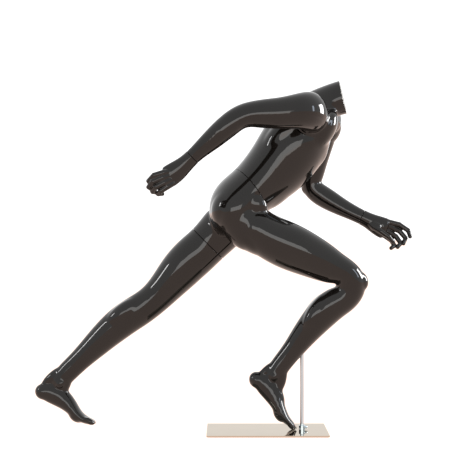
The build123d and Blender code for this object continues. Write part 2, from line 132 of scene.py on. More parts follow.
# Rings down each limb in millimetres: x, y, z of the centre, then the half size along the
# limb's first direction and the half size across it. A name stands for a joint's own ring.
# A limb has the first rings of its neighbour beyond a seam too, so that the skin runs on
# across the cut.
TRUNK = [
    (-134, 0, 806, 158, 92), (-122, 0, 856, 164, 108), (-92, 0, 893, 152, 108), WAIST,
    (19, 0, 989, 134, 119), (70, 0, 1050, 143, 129), (112, 2, 1117, 146, 131),
    (147, 7, 1172, 128, 118), (176, 4, 1214, 98, 92), (199, -2, 1244, 76, 70),
    (240, 0, 1265, 60, 63), NECK, (330, 0, 1289, 58, 64), (350, 0, 1294, 56, 62),
]
RIGHT_YOKE = [(140, -50, 1194, 74, 74), (168, -108, 1206, 70, 64), RIGHT_SHOULDER,
              (127, -189, 1211, 69, 62), (82, -210, 1205, 61, 54)]
LEFT_YOKE = [(160, 40, 1190, 72, 76), (206, 100, 1206, 66, 73), LEFT_SHOULDER,
             (241, 192, 1200, 62, 68), (236, 219, 1164, 53, 58)]
PELVIS = [
    (70, 0, 1050, 143, 129), (19, 0, 989, 134, 119), WAIST, (-92, 0, 893, 152, 108),
    (-122, 0, 856, 164, 108), (-134, 0, 806, 158, 92), (-136, 0, 768, 128, 64),
    (-134, 0, 745, 84, 34),
]
RIGHT_LEG = [
    (-86, -74, 822, 80, 78), (-32, -80, 764, 84, 80), (62, -80, 718, 84, 92),
    (150, -74, 679, 76, 83), (219, -66, 645, 66, 72), (256, -61, 626, 60, 62),
    (288, -57, 615, 57, 53), (309, -54, 595, 56, 57), (318, -51, 567, 55, 59),
    (315, -48, 538, 55, 56), (294, -44, 512, 55, 54), (271, -40, 501, 56, 58),
    (237, -34, 478, 58, 61), (207, -27, 449, 57, 60), (181, -20, 419, 54, 56),
    (154, -14, 386, 49, 51), (128, -9, 352, 44, 46), (103, -6, 318, 39, 41),
    (76, -4, 284, 35, 38), (50, -2, 250, 34, 38), (27, -1, 218, 33, 36),
    (8, 0, 190, 26, 22),
]
RIGHT_FOOT = [
    (-52, 0, 207, 16, 14), (-27, -1, 197, 29, 35), (9, -2, 164, 33, 42),
    (36, -4, 114, 38, 27), (57, -6, 68, 44, 21), (76, -8, 43, 43, 14.5),
    (95, -9, 27, 38, 11.5), (106, -9, 17, 28, 6.5),
]
LEFT_STUB = [(-135, 78, 815, 88, 92), (-178, 86, 768, 82, 88), THIGH,
             (-268, 90, 680, 79, 84), (-304, 91, 647, 78, 83)]
LEFT_LEG = [
    (-135, 78, 815, 88, 92), (-178, 86, 768, 82, 88), THIGH,
    (-268, 90, 680, 79, 84), (-304, 91, 647, 78, 83), (-337, 91, 612, 75, 80),
    (-369, 92, 575, 70, 73), (-401, 93, 538, 64, 66), (-434, 93, 504, 59, 62),
    (-470, 94, 475, 57, 62), (-507, 95, 451, 57, 64), (-542, 96, 429, 57, 64),
    (-574, 97, 405, 56, 63), (-604, 98, 380, 54, 60), (-634, 99, 353, 51, 56),
    (-663, 99, 325, 47, 52), (-692, 100, 297, 42, 47), (-722, 100, 268, 38, 43),
    (-752, 100, 239, 35, 41), (-784, 100, 208, 34, 41), (-808, 100, 178, 32, 36),
    (-822, 100, 150, 26, 22),
]
LEFT_FOOT = [
    (-892, 100, 142, 16, 13), (-866, 100, 143, 30, 38), (-812, 100, 126, 34, 44),
    (-766, 100, 86, 39, 29), (-742, 100, 52, 44, 21), (-716, 100, 33, 42, 15),
    (-690, 100, 22, 38, 12), (-674, 100, 17, 28, 7),
]
RIGHT_ARM = [
    (140, -50, 1194, 74, 74), (168, -108, 1206, 70, 64), RIGHT_SHOULDER,
    (127, -189, 1211, 69, 62), (82, -210, 1205, 61, 54), (38, -222, 1199, 57, 50),
    (-7, -232, 1197, 54, 48), (-50, -239, 1195, 49, 46), (-90, -250, 1190, 44, 43),
    (-122, -257, 1173, 43, 42), (-150, -259, 1150, 43, 41), (-180, -257, 1125, 41, 39),
    (-206, -253, 1102, 38, 36), (-232, -249, 1080, 34, 32), (-257, -245, 1058, 30, 28),
    RIGHT_WRIST, (-305, -236, 1013, 30, 24), (-332, -234, 990, 36, 23),
]
LEFT_ARM = [
    (160, 40, 1190, 72, 76), (206, 100, 1206, 66, 73), LEFT_SHOULDER,
    (241, 192, 1200, 62, 68), (236, 219, 1164, 53, 58), (224, 230, 1105, 46, 51),
    (208, 238, 1045, 42, 46), (193, 245, 992, 43, 43), (184, 248, 962, 42, 42),
    (193, 248, 935, 42, 42), (222, 245, 912, 43, 42), (255, 240, 892, 42, 40),
    (288, 231, 872, 38, 36), (321, 222, 854, 34, 31), (355, 213, 837, 31, 27),
    LEFT_WRIST, (412, 201, 808, 30, 24), (440, 198, 792, 36, 23),
]
RIGHT_PALM = [(-232, -249, 1080, 34, 32), (-257, -245, 1058, 30, 28), RIGHT_WRIST,
              (-305, -236, 1013, 30, 24), (-332, -234, 990, 37, 23),
              (-360, -236, 970, 40, 20), (-376, -240, 960, 38, 17)]
LEFT_PALM = [(321, 222, 854, 34, 31), (355, 213, 837, 31, 27), LEFT_WRIST,
             (412, 201, 808, 30, 24), (440, 198, 792, 37, 23),
             (470, 196, 778, 42, 19), (486, 198, 771, 40, 16)]

# Knuckles of the four fingers from the palm to the tip, and last the thumb's, in
# millimetres, with the radius at each knuckle.
RIGHT_FINGERS = [
    [(-356, -242, 986), (-384, -256, 980), (-418, -264, 970),
     (-438, -252, 950), (-430, -234, 934)],
    [(-358, -244, 972), (-388, -258, 962), (-422, -264, 948),
     (-438, -248, 928), (-424, -232, 918)],
    [(-354, -244, 958), (-382, -256, 944), (-412, -260, 928),
     (-424, -242, 912), (-410, -228, 908)],
    [(-346, -240, 944), (-370, -248, 930), (-394, -250, 914),
     (-404, -234, 904), (-390, -222, 904)],
    [(-312, -224, 998), (-338, -212, 992), (-370, -200, 988),
     (-404, -204, 978), (-430, -218, 962)],
]
LEFT_FINGERS = [
    [(462, 198, 806), (490, 200, 802), (534, 204, 792),
     (570, 200, 768), (576, 188, 744)],
    [(464, 200, 790), (494, 204, 784), (536, 210, 766),
     (560, 204, 738), (550, 190, 716)],
    [(460, 200, 774), (488, 204, 764), (522, 208, 744),
     (540, 200, 718), (526, 186, 702)],
    [(452, 198, 758), (476, 202, 748), (504, 204, 728),
     (514, 196, 708), (500, 184, 698)],
    [(412, 190, 800), (430, 180, 782), (458, 164, 764),
     (486, 160, 744), (506, 164, 722)],
]
FINGER_RADII = [11.5, 12, 10.8, 10, 8.4]
THUMB_RADII = [13, 13, 11.5, 10.5, 8.8]

# Rounded masses laid on the limbs: centre and three half sizes in millimetres, then the
# direction that the first of the half sizes lies along.
TORSO_MASSES = [
    ((214, -56, 1152), (84, 66, 44), (0.46, 0.1, 0.88)),     # right breast
    ((206, 66, 1146), (84, 66, 44), (0.46, -0.1, 0.88)),     # left breast
    ((198, 4, 1206), (88, 58, 48), (0.12, 1, 0)),            # top of the chest
    ((52, -84, 1120), (112, 50, 52), (0.62, -0.25, 0.74)),   # right broad muscle
    ((52, 84, 1120), (112, 50, 52), (0.62, 0.25, 0.74)),     # left broad muscle
    ((146, 2, 1078), (100, 86, 84), (0.62, 0, 0.78)),        # upper belly
    ((150, -66, 1232), (74, 44, 30), (0.75, 0.55, 0.30)),    # right neck muscle
    ((150, 64, 1236), (74, 44, 30), (0.75, -0.55, 0.30)),    # left neck muscle
    ((146, -30, 1016), (104, 40, 34), (0.55, 0.05, 0.80)),   # right half of the belly
    ((146, 34, 1012), (104, 40, 34), (0.55, 0.0, 0.80)),     # left half of the belly
    ((22, -30, 1062), (120, 34, 24), (0.66, 0.0, 0.75)),     # right back muscle
    ((22, 32, 1062), (120, 34, 24), (0.66, 0.0, 0.75)),      # left back muscle
]
# The shoulders and the waist have their masses in the pieces on both sides of the seam.
RIGHT_SHOULDER_MASSES = [
    ((152, -136, 1207), (66, 54, 62), (0.5, -0.85, 0)),      # right shoulder root
    ((120, -184, 1211), (84, 57, 62), (0.86, 0.48, 0.05)),   # right shoulder cap
]
LEFT_SHOULDER_MASSES = [
    ((226, 136, 1204), (62, 62, 62), (0.3, 0.95, 0)),        # left shoulder root
    ((242, 188, 1190), (84, 60, 62), (0.05, 0.45, -0.9)),    # left shoulder cap
]
WAIST_MASSES = [
    ((66, 0, 944), (128, 86, 46), (0.68, 0, 0.73)),          # lower belly
]
PELVIS_MASSES = [
    ((-136, -70, 856), (92, 80, 74), (0.45, 0, 0.89)),       # right buttock
    ((-140, 74, 850), (94, 82, 76), (0.40, 0, 0.91)),        # left buttock
    ((-98, -76, 806), (124, 80, 84), (0.5, 0, -0.86)),       # right seat
    ((-66, -72, 736), (112, 70, 46), (0.86, 0, -0.5)),       # root of the right thigh
    ((-60, -102, 856), (60, 38, 60), (0.5, -0.3, 0.7)),      # right hip
    ((-96, 104, 860), (60, 38, 60), (0.3, 0.3, 0.8)),        # left hip
    ((-40, 0, 836), (48, 44, 42), (0.6, 0, -0.8)),           # groin
]
RIGHT_LEG_MASSES = [
    ((130, -84, 716), (150, 58, 52), (0.90, 0.05, -0.40)),   # front thigh muscle
    ((60, -58, 676), (130, 56, 44), (0.88, 0.05, -0.42)),    # back thigh muscle
    ((262, -92, 640), (54, 26, 34), (0.85, 0.2, -0.5)),      # outer drop above the knee
    ((268, -36, 648), (52, 26, 30), (0.85, 0, -0.5)),        # inner drop above the knee
    ((358, -52, 578), (36, 32, 25), (0.25, 0, -0.97)),       # kneecap
    ((198, -46, 468), (92, 36, 39), (0.62, 0.1, 0.78)),      # outer calf
    ((190, -4, 460), (92, 34, 40), (0.62, 0.1, 0.78)),       # inner calf
    ((2, 0, 236), (48, 20, 17), (0.75, 0, 0.62)),            # heel cord
    ((50, -2, 196), (58, 28, 25), (0.25, 0, 0.97)),          # front of the ankle
    ((34, 28, 222), (19, 11, 15), (0.6, 0.1, 0.8)),          # inner ankle bone
    ((28, -28, 214), (18, 11, 15), (0.6, 0.1, 0.8)),         # outer ankle bone
    ((38, -4, 142), (60, 30, 25), (0.35, 0, -0.94)),         # instep
    ((-38, -1, 196), (34, 31, 31), (0.6, 0, -0.8)),          # heel
    ((46, -6, 66), (34, 40, 20), (0.5, 0, -0.85)),           # ball of the foot
]
LEFT_LEG_MASSES = [
    ((-300, 96, 628), (150, 60, 56), (-0.70, 0, -0.71)),     # front thigh muscle
    ((-330, 84, 648), (130, 56, 50), (-0.70, 0, -0.71)),     # back thigh muscle
    ((-424, 94, 490), (34, 34, 26), (-0.80, 0, -0.60)),      # kneecap
    ((-552, 72, 448), (92, 38, 40), (-0.80, 0, -0.60)),      # inner calf
    ((-548, 118, 444), (88, 38, 38), (-0.80, 0, -0.60)),     # outer calf
    ((-806, 129, 166), (18, 11, 15), (-0.7, 0, -0.7)),       # outer ankle bone
    ((-800, 71, 172), (19, 11, 15), (-0.7, 0, -0.7)),        # inner ankle bone
    ((-872, 100, 138), (31, 31, 33), (-0.6, 0, -0.8)),       # heel
    ((-834, 100, 198), (58, 22, 20), (0.75, 0, 0.66)),       # heel cord
    ((-786, 100, 170), (52, 28, 24), (0.35, 0, 0.94)),       # front of the ankle
    ((-744, 100, 44), (34, 41, 22), (0.75, 0, -0.65)),       # ball of the foot
]
RIGHT_ARM_MASSES = [
    ((30, -226, 1172), (76, 40, 30), (0.95, 0.2, 0.0)),      # front of the upper arm
    ((24, -224, 1224), (92, 38, 28), (0.97, 0.2, 0.0)),      # back of the upper arm
    ((-124, -262, 1184), (26, 26, 24), (0.6, 0, 0.7)),       # elbow
    ((-172, -262, 1136), (66, 36, 34), (0.75, 0, 0.66)),     # thick of the forearm
]
LEFT_ARM_MASSES = [
    ((230, 228, 1104), (84, 38, 24), (0.2, 0, 0.97)),        # front of the upper arm
    ((204, 236, 1090), (90, 36, 28), (0.2, 0, 0.97)),        # back of the upper arm
    ((176, 250, 940), (30, 27, 30), (0.2, 0, 0.97)),         # elbow
    ((236, 244, 908), (62, 38, 36), (0.86, 0, -0.5)),        # thick of the forearm
]
RIGHT_HAND_MASSES = [
    ((-328, -220, 992), (30, 15, 18), (-0.8, 0.3, 0)),       # ball of the thumb
    ((-350, -226, 962), (28, 12, 16), (-0.5, 0, -0.8)),      # heel of the hand
]
LEFT_HAND_MASSES = [
    ((434, 184, 790), (30, 15, 18), (0.8, -0.3, -0.4)),      # ball of the thumb
    ((450, 190, 770), (30, 12, 16), (0.8, 0, -0.6)),         # heel of the hand
]

# Toes in the same way, from the big toe outwards.
RIGHT_TOES = [
    ((92, 28, 26), (24, 13, 12), (0.75, 0.05, -0.66)),
    ((100, 10, 22), (20, 9, 9), (0.75, 0, -0.66)),
    ((101, -7, 20), (19, 9, 9), (0.75, 0, -0.66)),
    ((98, -23, 20), (18, 8.5, 8.5), (0.75, -0.05, -0.66)),
    ((90, -38, 22), (17, 8.5, 8.5), (0.75, -0.1, -0.66)),
]
LEFT_TOES = [
    ((-688, 66, 28), (26, 14, 13), (0.86, 0.0, -0.5)),
    ((-680, 84, 26), (21, 9, 9), (0.86, 0, -0.5)),
    ((-680, 101, 25), (20, 9, 9), (0.86, 0, -0.5)),
    ((-687, 117, 21), (19, 8.5, 8.5), (0.86, 0, -0.5)),
    ((-696, 132, 22), (18, 8.5, 8.5), (0.86, 0, -0.5)),
]

# Soft boxes of the studio, all aimed at AIM: name, place, width and height in metres,
# watts, colour.
AIM = Vector((0, 0, 0.8))
SOFT_BOXES = [
    ("front_strip", (0.0, -6.5, 1.3), (7.0, 1.6), 135.0, (1.0, 0.98, 0.95)),
    ("key_box", (4.2, 1.1, 1.9), (1.3, 1.9), 230.0, (1.0, 1.0, 1.0)),
    ("key_box_blue", (3.6, -1.2, 1.9), (0.5, 1.4), 22.0, (0.75, 0.85, 1.0)),
    ("back_box", (-4.0, -1.0, 2.2), (0.4, 0.8), 25.0, (1.0, 1.0, 1.0)),
]


# ------------------------------------------------------------ settings

class FigureSettings(bpy.types.PropertyGroup):
    trunk_grain: bpy.props.FloatProperty(
        name="Trunk mesh size", description="Mesh size of the trunk's surface",
        default=4.4 * MM, min=2 * MM, unit="LENGTH")
    limb_grain: bpy.props.FloatProperty(
        name="Limb mesh size", description="Mesh size of the arms and legs",
        default=3.5 * MM, min=2 * MM, unit="LENGTH")
    hand_grain: bpy.props.FloatProperty(
        name="Hand mesh size", description="Mesh size of the hands",
        default=1.6 * MM, min=1 * MM, unit="LENGTH")
    rim_chamfer: bpy.props.FloatProperty(
        name="Rim chamfer", description="Broken edge round each shell at a joint",
        default=1.4 * MM, min=0.2 * MM, unit="LENGTH")
    shell_wall: bpy.props.FloatProperty(
        name="Shell wall", description="Width of a shell's rim round its closing board",
        default=3.8 * MM, min=1 * MM, unit="LENGTH")


class FinishSettings(bpy.types.PropertyGroup):
    lacquer: bpy.props.StringProperty(
        name="Lacquer", description="Colour of the figure as an sRGB hex value",
        default="#0B0A09")
    steel: bpy.props.StringProperty(
        name="Polished steel", description="Colour of the plate as an sRGB hex value",
        default="#AFA79A")
    chrome: bpy.props.StringProperty(
        name="Chrome", description="Colour of the rod and collar as an sRGB hex value",
        default="#ABBAC4")
    gloss: bpy.props.FloatProperty(
        name="Lacquer roughness", description="Roughness of the polished lacquer",
        default=0.045, min=0.0, max=1.0, subtype="FACTOR")


class StudioSettings(bpy.types.PropertyGroup):
    camera_place: bpy.props.FloatVectorProperty(
        name="Camera", description="Where the camera stands",
        default=(-0.1605, -4.91, 0.790), subtype="TRANSLATION")
    lens: bpy.props.FloatProperty(
        name="Lens", description="Focal length of the camera in millimetres",
        default=102.5, min=10.0)
    surround: bpy.props.FloatProperty(
        name="Surround", description="Brightness of the white studio walls",
        default=1.37, min=0.0)
    floor_half: bpy.props.FloatProperty(
        name="Floor half size", description="Half the width of the floor",
        default=60.0, min=5.0, unit="LENGTH")


# ------------------------------------------------------------ tools of the trade

def deselect_all():
    """Operators act on all that is selected, so each step starts with nothing."""
    bpy.ops.object.select_all(action="DESELECT")


def work_on(pieces):
    """Selects these objects alone, the first one active."""
    deselect_all()
    for piece in pieces:
        piece.select_set(True)
    bpy.context.view_layer.objects.active = pieces[0]


def facing(axis, across):
    """Turn that brings local Z to axis and local X near the direction across."""
    axis = axis.normalized()
    first = (across - axis * across.dot(axis)).normalized()
    return Matrix((first, axis.cross(first), axis)).transposed().to_euler()


def ring(centre, axis, across, half_along, half_across):
    """One open elliptical ring of a limb."""
    bpy.ops.mesh.primitive_circle_add(
        vertices=RING_POINTS, radius=1, location=centre, rotation=facing(axis, across))
    bpy.context.object.scale = (half_along, half_across, 1)
    return bpy.context.object


def limb(rings, across):
    """Rings bridged to a closed limb and rounded."""
    centres = [station["centre"] if isinstance(station, dict) else Vector(station[:3]) * MM
               for station in rings]
    last = len(rings) - 1
    made = []
    for index, station in enumerate(rings):
        path = centres[min(index + 1, last)] - centres[max(index - 1, 0)]
        if isinstance(station, dict):
            axis = station["axis"] * (1 if station["axis"].dot(path) > 0 else -1)
            swell = ROUNDING_LOSS + station.get("swell", 0)
            halves = [half + swell for half in station["size"]]
            made.append(ring(centres[index], axis, station["across"], *halves))
        else:
            halves = [half * MM + ROUNDING_LOSS for half in station[3:]]
            made.append(ring(centres[index], path, across, *halves))
    work_on(made)
    bpy.ops.object.join()
    tube = bpy.context.object
    bpy.ops.object.transform_apply(location=True, rotation=True, scale=True)
    bpy.ops.object.mode_set(mode="EDIT")
    bpy.ops.mesh.select_all(action="SELECT")
    bpy.ops.mesh.bridge_edge_loops()
    bpy.ops.mesh.select_all(action="SELECT")
    bpy.ops.mesh.fill_holes(sides=0)
    bpy.ops.mesh.select_all(action="SELECT")
    bpy.ops.mesh.normals_make_consistent(inside=False)
    bpy.ops.object.mode_set(mode="OBJECT")
    rounding = tube.modifiers.new("rounding", "SUBSURF")
    rounding.levels = ROUNDING_LEVELS
    rounding.render_levels = ROUNDING_LEVELS
    bpy.ops.object.modifier_apply(modifier=rounding.name)
    return tube


def side_of(axis):
    """A direction to set a form's first side by, never the one that it runs along."""
    return WIDTH if abs(axis.normalized().dot(WIDTH)) < ALONG_WIDTH else UP


def mass(centre, halves, direction):
    """One rounded mass of muscle or bone."""
    axis = Vector(direction)
    bpy.ops.mesh.primitive_uv_sphere_add(
        segments=MASS_SEGMENTS, ring_count=MASS_RINGS, radius=1,
        location=Vector(centre) * MM, rotation=facing(axis, side_of(axis)))
    bpy.context.object.scale = (halves[1] * MM, halves[2] * MM, halves[0] * MM)
    return bpy.context.object


def masses(*tables):
    """All the masses of these tables."""
    return [mass(*entry) for table in tables for entry in table]


def finger(knuckles, radii):
    """A finger as a tapered tube with a round tip and knuckles."""
    points = [Vector(knuckle) * MM for knuckle in knuckles]
    parts = []
    for start, end, first, last in zip(points, points[1:], radii, radii[1:]):
        bone = end - start
        bpy.ops.mesh.primitive_cone_add(
            vertices=FINGER_SEGMENTS, depth=bone.length,
            radius1=first * MM * FINGER_WAIST, radius2=last * MM * FINGER_WAIST,
            location=(start + end) / 2, rotation=facing(bone, side_of(bone)))
        parts.append(bpy.context.object)
    for point, radius in zip(points, radii):
        bpy.ops.mesh.primitive_uv_sphere_add(
            segments=FINGER_SEGMENTS, ring_count=FINGER_RINGS, radius=radius * MM,
            location=point)
        parts.append(bpy.context.object)
    return parts


def sculpt(name, parts, grain, passes):
    """Joins overlapping masses into one skin of even mesh and smooths it."""
    work_on(parts)
    bpy.ops.object.join()
    piece = bpy.context.object
    piece.name = name
    piece.data.name = name
    bpy.ops.object.transform_apply(location=True, rotation=True, scale=True)
    skin = piece.modifiers.new("skin", "REMESH")
    skin.mode = "VOXEL"
    skin.voxel_size = grain
    bpy.ops.object.modifier_apply(modifier=skin.name)
    polish = piece.modifiers.new("polish", "SMOOTH")
    polish.factor = POLISH_FACTOR
    polish.iterations = passes
    bpy.ops.object.modifier_apply(modifier=polish.name)
    if not piece.data.polygons:
        raise RuntimeError(name + " has no surface")
    return piece


def pick(piece, faces=None, points=None):
    """Selects the faces or vertices that pass the test, in edit mode."""
    shape = bmesh.from_edit_mesh(piece.data)
    for part in (shape.verts, shape.edges, shape.faces):
        for item in part:
            item.select_set(False)
    count = 0
    if faces:
        for face in shape.faces:
            if faces(face):
                face.select_set(True)
                count += 1
    if points:
        for point in shape.verts:
            if points(point.co):
                point.select_set(True)
                count += 1
    shape.select_flush_mode()
    bmesh.update_edit_mesh(piece.data)
    return count


def clear_block(name, seam, out, edge):
    """A widening block that stands on the seam and clears all that is beyond it."""
    share = seam.get("clear", CLEARANCE_SHARE)
    bpy.ops.mesh.primitive_cone_add(
        vertices=CLEARANCE_SEGMENTS, radius1=share, radius2=share + CLEARANCE_WIDENING,
        depth=1, location=edge + out * CLEARANCE_HEIGHT / 2,
        rotation=facing(out, seam["across"]))
    block = bpy.context.object
    block.name = name
    block.scale = (*seam["size"], CLEARANCE_HEIGHT)
    bpy.ops.object.transform_apply(location=True, rotation=True, scale=True)
    return block


def saw(piece, seam, side, whole, depth):
    """Cuts a piece off at a seam, breaks the rim's edge and sinks the board's pocket.

    side is 1 on the piece that carries and -1 on the carried one; whole cuts everything
    beyond the plane, and otherwise only what stands on the seam's own ring.
    """
    sizes = bpy.context.scene.mannequin_figure
    out = seam["axis"] * side
    edge = seam["centre"] - out * SEAM_GAP / 2
    reach = max(seam["size"]) * FACE_REACH * seam.get("clear", CLEARANCE_SHARE)
    work_on([piece])
    bpy.ops.object.mode_set(mode="EDIT")
    pick(piece, faces=lambda f: whole or (f.calc_center_median() - edge).length < reach)
    bpy.ops.mesh.bisect(plane_co=edge - out * sizes.rim_chamfer, plane_no=out)
    if whole:
        bpy.ops.mesh.select_all(action="SELECT")
        bpy.ops.mesh.bisect(plane_co=edge, plane_no=out, use_fill=True, clear_outer=True)
        bpy.ops.object.mode_set(mode="OBJECT")
    else:
        bpy.ops.object.mode_set(mode="OBJECT")
        block = clear_block("clearance", seam, out, edge)
        work_on([piece])
        cut = piece.modifiers.new("clearance", "BOOLEAN")
        cut.operation = "DIFFERENCE"
        cut.solver = "EXACT"
        cut.object = block
        bpy.ops.object.modifier_apply(modifier=cut.name)
        bpy.data.objects.remove(block)
    bpy.ops.object.mode_set(mode="EDIT")

    def on_plane(point):
        return abs((point - edge).dot(out)) < PLANE_SLACK and (point - edge).length < reach

    mean = sum(seam["size"]) / 2
    shrink = 1 - sizes.rim_chamfer / mean
    pick(piece, points=on_plane)
    bpy.ops.transform.resize(value=(shrink,) * 3, center_override=edge)
    found = pick(piece, faces=lambda f: all(on_plane(v.co) for v in f.verts))
    if not found:
        raise RuntimeError(piece.name + " has no face at its seam")
    if depth:
        inset = 1 - sizes.shell_wall / mean
        bpy.ops.mesh.extrude_region_move(TRANSFORM_OT_translate={"value": (0, 0, 0)})
        bpy.ops.transform.resize(value=(inset,) * 3, center_override=edge)
        bpy.ops.mesh.extrude_region_move(TRANSFORM_OT_translate={"value": -out * depth})
    bpy.ops.object.mode_set(mode="OBJECT")


def finish_piece(piece, body, nodes):
    """Lacquers a shell, cleans and shades its mesh and joins it to its body."""
    lacquer_on(piece)
    work_on([piece])
    bpy.ops.object.mode_set(mode="EDIT")
    bpy.ops.mesh.select_all(action="SELECT")
    bpy.ops.mesh.remove_doubles(threshold=DOUBLES)
    bpy.ops.mesh.normals_make_consistent(inside=False)
    bpy.ops.object.mode_set(mode="OBJECT")
    bpy.ops.object.shade_smooth_by_angle(angle=SHARP_ANGLE)
    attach(piece, body)
    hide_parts(*nodes)


# ------------------------------------------------------------ finishes

# Noise values nearly all lie between these two, so a ramp runs from one to the other.
NOISE_LOW = 0.3
NOISE_HIGH = 0.7
GLOSSIEST = 0.7               # the best polished places, as a share of the roughness
DULLEST = 1.5                 # the least polished ones
LACQUER_IOR = 1.37


def linear(hex_value):
    """sRGB hex text to a linear RGBA colour."""
    digits = hex_value.lstrip("#")
    channels = [int(digits[i:i + 2], 16) / 255 for i in (0, 2, 4)]
    return tuple(c / 12.92 if c <= 0.04045 else ((c + 0.055) / 1.055) ** 2.4
                 for c in channels) + (1.0,)


def grey(value):
    """A neutral colour, also used for values that a ramp gives."""
    return (value, value, value, 1.0)


def shade(colour, share):
    """A linear colour made paler or darker."""
    return tuple(min(1.0, c * share) for c in colour[:3]) + (1.0,)


def every(millimetres):
    """Scale of a pattern that repeats about once in this many millimetres."""
    return 1 / (millimetres * MM)


def over_noise(low, high):
    """Stops of a ramp that follows a noise."""
    return ((NOISE_LOW, low), (NOISE_HIGH, high))


def patchy(roughness):
    """Stops for the roughness of a face that is polished better in some places."""
    return over_noise(grey(roughness * GLOSSIEST), grey(roughness * DULLEST))


def add_node(material, kind, sockets=None, links=None, stops=()):
    """Adds a node, sets its sockets and ramp stops, and links inputs from (node, output)."""
    tree = material.node_tree
    node = tree.nodes.new(kind)
    for key, value in (sockets or {}).items():
        node.inputs[key].default_value = value
    for key, (source, output) in (links or {}).items():
        tree.links.new(source.outputs[output], node.inputs[key])
    for index, (position, colour) in enumerate(stops):
        node.color_ramp.elements[index].position = position
        node.color_ramp.elements[index].color = colour
    return node


def new_finish(name):
    """A material with no nodes yet."""
    material = bpy.data.materials.new(name)
    material.use_nodes = True
    material.node_tree.nodes.clear()
    return material


def close_finish(material, sockets=None, links=None):
    """Gives a material its shader and its output."""
    shader = add_node(material, "ShaderNodeBsdfPrincipled", sockets, links)
    add_node(material, "ShaderNodeOutputMaterial", links={"Surface": (shader, "BSDF")})
    return material


def polished_black_lacquer(colour, gloss):
    """Glass-fibre shell sprayed with black polyester lacquer and buffed.

    The eye gets near-black depth, a sharp clear reflection, faint orange peel a few
    millimetres wide from the spray and a slow change of gloss from buffing by hand.
    """
    material = new_finish("polished_black_lacquer")
    place = add_node(material, "ShaderNodeTexCoord")
    slow = add_node(material, "ShaderNodeTexNoise",
                    sockets={"Scale": every(120), "Detail": 3.0},
                    links={"Vector": (place, "Object")})
    peel = add_node(material, "ShaderNodeTexNoise",
                    sockets={"Scale": every(7), "Detail": 1.0, "Roughness": 0.4},
                    links={"Vector": (place, "Object")})
    deep = linear(colour)
    tint = add_node(material, "ShaderNodeValToRGB", stops=over_noise(deep, shade(deep, 1.5)),
                    links={"Fac": (slow, "Fac")})
    buffed = add_node(material, "ShaderNodeValToRGB", stops=patchy(gloss),
                      links={"Fac": (slow, "Fac")})
    bump = add_node(material, "ShaderNodeBump",
                    sockets={"Strength": 0.06, "Distance": 0.4 * MM},
                    links={"Height": (peel, "Fac")})
    return close_finish(
        material, sockets={"IOR": LACQUER_IOR},
        links={"Base Color": (tint, "Color"), "Roughness": (buffed, "Color"),
               "Normal": (bump, "Normal")})


def bright_steel(name, colour, roughness, grain, stretch, depth, edge="#FFFFFF"):
    """Polished or turned metal: a mirror with fine drawn lines and slight smears.

    grain is the lines' spacing in millimetres, stretch squeezes them along X, Y and Z,
    depth is how strongly they show and edge tints what is seen at a glancing angle.
    """
    material = new_finish(name)
    place = add_node(material, "ShaderNodeTexCoord")
    lie = add_node(material, "ShaderNodeMapping", sockets={"Scale": stretch},
                   links={"Vector": (place, "Object")})
    lines = add_node(material, "ShaderNodeTexNoise",
                     sockets={"Scale": every(grain), "Detail": 3.0},
                     links={"Vector": (lie, "Vector")})
    smears = add_node(material, "ShaderNodeTexNoise",
                      sockets={"Scale": every(90), "Detail": 4.0},
                      links={"Vector": (place, "Object")})
    base = linear(colour)
    tint = add_node(material, "ShaderNodeValToRGB", stops=over_noise(shade(base, 0.93), base),
                    links={"Fac": (smears, "Fac")})
    rough = add_node(material, "ShaderNodeValToRGB", stops=patchy(roughness),
                     links={"Fac": (smears, "Fac")})
    bump = add_node(material, "ShaderNodeBump",
                    sockets={"Strength": depth, "Distance": 0.05 * MM},
                    links={"Height": (lines, "Fac")})
    return close_finish(
        material, sockets={"Metallic": 1.0, "Specular Tint": linear(edge)},
        links={"Base Color": (tint, "Color"), "Roughness": (rough, "Color"),
               "Normal": (bump, "Normal")})


def pressed_wood_board():
    """Wood-fibre board, sanded: brown flecks of chip about 3 mm long, quite dull."""
    material = new_finish("pressed_wood_fibre_board")
    place = add_node(material, "ShaderNodeTexCoord")
    chips = add_node(material, "ShaderNodeTexVoronoi", sockets={"Scale": every(3)},
                     links={"Vector": (place, "Object")})
    fibres = add_node(material, "ShaderNodeTexNoise",
                      sockets={"Scale": every(2), "Detail": 5.0},
                      links={"Vector": (place, "Object")})
    tint = add_node(material, "ShaderNodeValToRGB",
                    stops=((0.1, linear("#8A6A48")), (0.8, linear("#B08C62"))),
                    links={"Fac": (chips, "Distance")})
    rough = add_node(material, "ShaderNodeValToRGB", stops=over_noise(grey(0.62), grey(0.82)),
                     links={"Fac": (fibres, "Fac")})
    bump = add_node(material, "ShaderNodeBump",
                    sockets={"Strength": 0.4, "Distance": 0.2 * MM},
                    links={"Height": (fibres, "Fac")})
    return close_finish(
        material, links={"Base Color": (tint, "Color"), "Roughness": (rough, "Color"),
                         "Normal": (bump, "Normal")})


